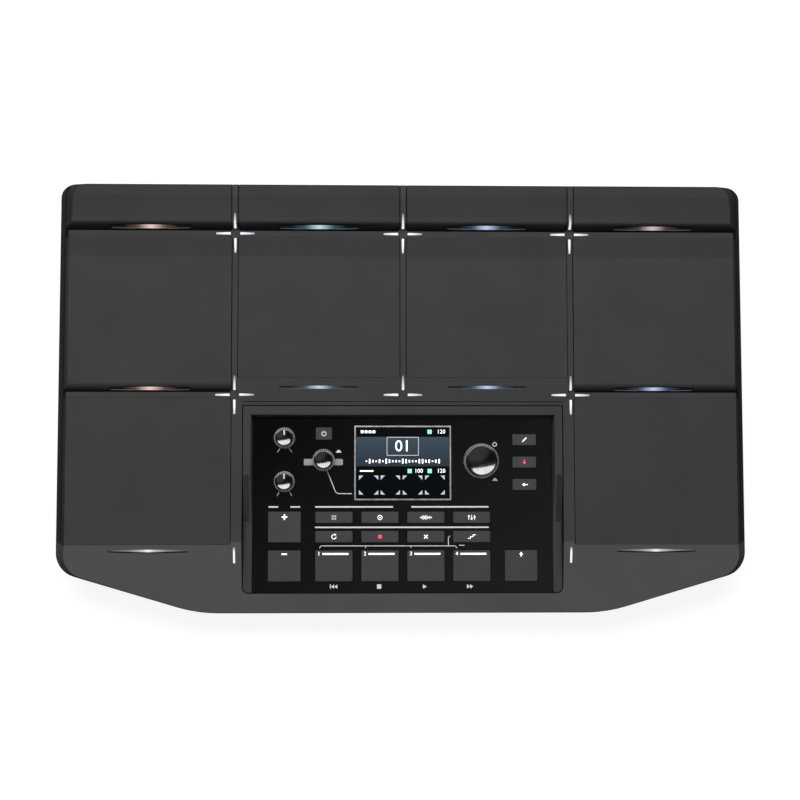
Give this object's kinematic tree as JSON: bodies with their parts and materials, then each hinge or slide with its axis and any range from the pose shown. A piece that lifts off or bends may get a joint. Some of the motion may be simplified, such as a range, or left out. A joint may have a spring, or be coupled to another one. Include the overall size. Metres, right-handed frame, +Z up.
{
  "type": "sampling drum pad",
  "caption": "low wedge-shaped percussion sampler with bar and square rubber pads, star and strip lights, and a sunken control panel",
  "frame": {"origin": "bottom centre of the overall bounding box, on the table under the rubber feet", "axes": "+X to the player's right along the long side, +Y away from the player to the sockets at the rear, +Z up"},
  "size_m": [0.46, 0.287, 0.0756],
  "materials": {
    "case_plastic": "dark charcoal, fine grain",
    "frame_plastic": "dark charcoal, satin",
    "pad_rubber": "soft matt rubber",
    "button_rubber": "soft matt rubber",
    "panel_plastic": "black, glossy",
    "knob_plastic": "black, ribbed",
    "display_glass": "dark display",
    "light_guide": "clear light guide, lit",
    "shaft_metal": "turned",
    "housing_metal": "zinc plated",
    "board": "green solder resist",
    "switch_plastic": "moulded",
    "tray_metal": "black sheet metal",
    "foam": "open cell foam",
    "sensor_brass": "thin disc",
    "rear_metal": "black, fine texture",
    "socket_plastic": "moulded",
    "screw_steel": "blackened",
    "foot_rubber": "matt rubber",
    "insert_brass": "knurled insert"
  },
  "bodies": {
    "case": {"top_case": "case_plastic", "bottom_case": "case_plastic", "panel_frame": "frame_plastic", "control_panel": "panel_plastic", "display_module": "display_glass", "rotary_housings": "housing_metal", "panel_board": "board", "tact_switches": "switch_plastic", "main_board": "board", "pad_tray": "tray_metal", "pad_foams": "foam", "piezo_sensors": "sensor_brass", "star_lights": "light_guide", "light_strips": "light_guide", "jack_plate": "rear_metal", "port_plate": "rear_metal", "jack_sockets": "socket_plastic", "port_sockets": "socket_plastic", "case_screws": "screw_steel", "rubber_feet": "foot_rubber", "stand_inserts": "insert_brass"},
    "bar_pad_1": {"bar_pad_1": "pad_rubber"},
    "bar_pad_2": {"bar_pad_2": "pad_rubber"},
    "bar_pad_3": {"bar_pad_3": "pad_rubber"},
    "bar_pad_4": {"bar_pad_4": "pad_rubber"},
    "square_pad_1": {"square_pad_1": "pad_rubber"},
    "square_pad_2": {"square_pad_2": "pad_rubber"},
    "square_pad_3": {"square_pad_3": "pad_rubber"},
    "square_pad_4": {"square_pad_4": "pad_rubber"},
    "square_pad_5": {"square_pad_5": "pad_rubber"},
    "square_pad_6": {"square_pad_6": "pad_rubber"},
    "power_button": {"power_button": "button_rubber"},
    "menu_button_1": {"menu_button_1": "button_rubber"},
    "menu_button_2": {"menu_button_2": "button_rubber"},
    "menu_button_3": {"menu_button_3": "button_rubber"},
    "mode_button_1": {"mode_button_1": "button_rubber"},
    "mode_button_2": {"mode_button_2": "button_rubber"},
    "mode_button_3": {"mode_button_3": "button_rubber"},
    "mode_button_4": {"mode_button_4": "button_rubber"},
    "loop_button_1": {"loop_button_1": "button_rubber"},
    "loop_button_2": {"loop_button_2": "button_rubber"},
    "loop_button_3": {"loop_button_3": "button_rubber"},
    "loop_button_4": {"loop_button_4": "button_rubber"},
    "plus_button": {"plus_button": "button_rubber"},
    "minus_button": {"minus_button": "button_rubber"},
    "track_button_1": {"track_button_1": "button_rubber"},
    "track_button_2": {"track_button_2": "button_rubber"},
    "track_button_3": {"track_button_3": "button_rubber"},
    "track_button_4": {"track_button_4": "button_rubber"},
    "shift_button": {"shift_button": "button_rubber"},
    "main_volume_knob": {"main_volume_knob": "knob_plastic", "main_volume_shaft": "shaft_metal"},
    "phones_volume_knob": {"phones_volume_knob": "knob_plastic", "phones_volume_shaft": "shaft_metal"},
    "metronome_rotor": {"metronome_rotor": "switch_plastic"},
    "metronome_knob": {"metronome_knob": "knob_plastic", "metronome_shaft": "shaft_metal"},
    "value_rotor": {"value_rotor": "switch_plastic"},
    "value_knob": {"value_knob": "knob_plastic", "value_shaft": "shaft_metal"}
  },
  "joints": [
    {"name": "bar_pad_1_press", "type": "slide", "parent": "case", "child": "bar_pad_1", "axis": [0, 0.0872, -0.9962], "range_m": [0, 0.0006], "stiffness_N_per_m": 20000},
    {"name": "bar_pad_2_press", "type": "slide", "parent": "case", "child": "bar_pad_2", "axis": [0, 0.0872, -0.9962], "range_m": [0, 0.0006], "stiffness_N_per_m": 20000},
    {"name": "bar_pad_3_press", "type": "slide", "parent": "case", "child": "bar_pad_3", "axis": [0, 0.0872, -0.9962], "range_m": [0, 0.0006], "stiffness_N_per_m": 20000},
    {"name": "bar_pad_4_press", "type": "slide", "parent": "case", "child": "bar_pad_4", "axis": [0, 0.0872, -0.9962], "range_m": [0, 0.0006], "stiffness_N_per_m": 20000},
    {"name": "square_pad_1_press", "type": "slide", "parent": "case", "child": "square_pad_1", "axis": [0, 0.0872, -0.9962], "range_m": [0, 0.0006], "stiffness_N_per_m": 20000},
    {"name": "square_pad_2_press", "type": "slide", "parent": "case", "child": "square_pad_2", "axis": [0, 0.0872, -0.9962], "range_m": [0, 0.0006], "stiffness_N_per_m": 20000},
    {"name": "square_pad_3_press", "type": "slide", "parent": "case", "child": "square_pad_3", "axis": [0, 0.0872, -0.9962], "range_m": [0, 0.0006], "stiffness_N_per_m": 20000},
    {"name": "square_pad_4_press", "type": "slide", "parent": "case", "child": "square_pad_4", "axis": [0, 0.0872, -0.9962], "range_m": [0, 0.0006], "stiffness_N_per_m": 20000},
    {"name": "square_pad_5_press", "type": "slide", "parent": "case", "child": "square_pad_5", "axis": [0, 0.0872, -0.9962], "range_m": [0, 0.0006], "stiffness_N_per_m": 20000},
    {"name": "square_pad_6_press", "type": "slide", "parent": "case", "child": "square_pad_6", "axis": [0, 0.0872, -0.9962], "range_m": [0, 0.0006], "stiffness_N_per_m": 20000},
    {"name": "power_button_press", "type": "slide", "parent": "case", "child": "power_button", "axis": [0, 0.0872, -0.9962], "range_m": [0, 0.0006], "stiffness_N_per_m": 400},
    {"name": "menu_button_1_press", "type": "slide", "parent": "case", "child": "menu_button_1", "axis": [0, 0.0872, -0.9962], "range_m": [0, 0.0006], "stiffness_N_per_m": 400},
    {"name": "menu_button_2_press", "type": "slide", "parent": "case", "child": "menu_button_2", "axis": [0, 0.0872, -0.9962], "range_m": [0, 0.0006], "stiffness_N_per_m": 400},
    {"name": "menu_button_3_press", "type": "slide", "parent": "case", "child": "menu_button_3", "axis": [0, 0.0872, -0.9962], "range_m": [0, 0.0006], "stiffness_N_per_m": 400},
    {"name": "mode_button_1_press", "type": "slide", "parent": "case", "child": "mode_button_1", "axis": [0, 0.0872, -0.9962], "range_m": [0, 0.0006], "stiffness_N_per_m": 400},
    {"name": "mode_button_2_press", "type": "slide", "parent": "case", "child": "mode_button_2", "axis": [0, 0.0872, -0.9962], "range_m": [0, 0.0006], "stiffness_N_per_m": 400},
    {"name": "mode_button_3_press", "type": "slide", "parent": "case", "child": "mode_button_3", "axis": [0, 0.0872, -0.9962], "range_m": [0, 0.0006], "stiffness_N_per_m": 400},
    {"name": "mode_button_4_press", "type": "slide", "parent": "case", "child": "mode_button_4", "axis": [0, 0.0872, -0.9962], "range_m": [0, 0.0006], "stiffness_N_per_m": 400},
    {"name": "loop_button_1_press", "type": "slide", "parent": "case", "child": "loop_button_1", "axis": [0, 0.0872, -0.9962], "range_m": [0, 0.0006], "stiffness_N_per_m": 400},
    {"name": "loop_button_2_press", "type": "slide", "parent": "case", "child": "loop_button_2", "axis": [0, 0.0872, -0.9962], "range_m": [0, 0.0006], "stiffness_N_per_m": 400},
    {"name": "loop_button_3_press", "type": "slide", "parent": "case", "child": "loop_button_3", "axis": [0, 0.0872, -0.9962], "range_m": [0, 0.0006], "stiffness_N_per_m": 400},
    {"name": "loop_button_4_press", "type": "slide", "parent": "case", "child": "loop_button_4", "axis": [0, 0.0872, -0.9962], "range_m": [0, 0.0006], "stiffness_N_per_m": 400},
    {"name": "plus_button_press", "type": "slide", "parent": "case", "child": "plus_button", "axis": [0, 0.0872, -0.9962], "range_m": [0, 0.0006], "stiffness_N_per_m": 400},
    {"name": "minus_button_press", "type": "slide", "parent": "case", "child": "minus_button", "axis": [0, 0.0872, -0.9962], "range_m": [0, 0.0006], "stiffness_N_per_m": 400},
    {"name": "track_button_1_press", "type": "slide", "parent": "case", "child": "track_button_1", "axis": [0, 0.0872, -0.9962], "range_m": [0, 0.0006], "stiffness_N_per_m": 400},
    {"name": "track_button_2_press", "type": "slide", "parent": "case", "child": "track_button_2", "axis": [0, 0.0872, -0.9962], "range_m": [0, 0.0006], "stiffness_N_per_m": 400},
    {"name": "track_button_3_press", "type": "slide", "parent": "case", "child": "track_button_3", "axis": [0, 0.0872, -0.9962], "range_m": [0, 0.0006], "stiffness_N_per_m": 400},
    {"name": "track_button_4_press", "type": "slide", "parent": "case", "child": "track_button_4", "axis": [0, 0.0872, -0.9962], "range_m": [0, 0.0006], "stiffness_N_per_m": 400},
    {"name": "shift_button_press", "type": "slide", "parent": "case", "child": "shift_button", "axis": [0, 0.0872, -0.9962], "range_m": [0, 0.0006], "stiffness_N_per_m": 400},
    {"name": "main_volume_turn", "type": "hinge", "parent": "case", "child": "main_volume_knob", "pos_m": [-0.0783, -0.029, 0.04635], "axis": [0, -0.0872, 0.9962], "range_deg": [-150, 150]},
    {"name": "phones_volume_turn", "type": "hinge", "parent": "case", "child": "phones_volume_knob", "pos_m": [-0.0783, -0.05769, 0.04384], "axis": [0, -0.0872, 0.9962], "range_deg": [-150, 150]},
    {"name": "metronome_turn", "type": "hinge", "parent": "case", "child": "metronome_rotor", "pos_m": [-0.0525, -0.04355, 0.04508], "axis": [0, -0.0872, 0.9962], "continuous": true},
    {"name": "metronome_push", "type": "slide", "parent": "metronome_rotor", "child": "metronome_knob", "axis": [0, 0.0872, -0.9962], "range_m": [0, 0.0005], "stiffness_N_per_m": 800},
    {"name": "value_turn", "type": "hinge", "parent": "case", "child": "value_rotor", "pos_m": [0.0516, -0.04414, 0.04502], "axis": [0, -0.0872, 0.9962], "continuous": true},
    {"name": "value_push", "type": "slide", "parent": "value_rotor", "child": "value_knob", "axis": [0, 0.0872, -0.9962], "range_m": [0, 0.0005], "stiffness_N_per_m": 800}
  ]
}
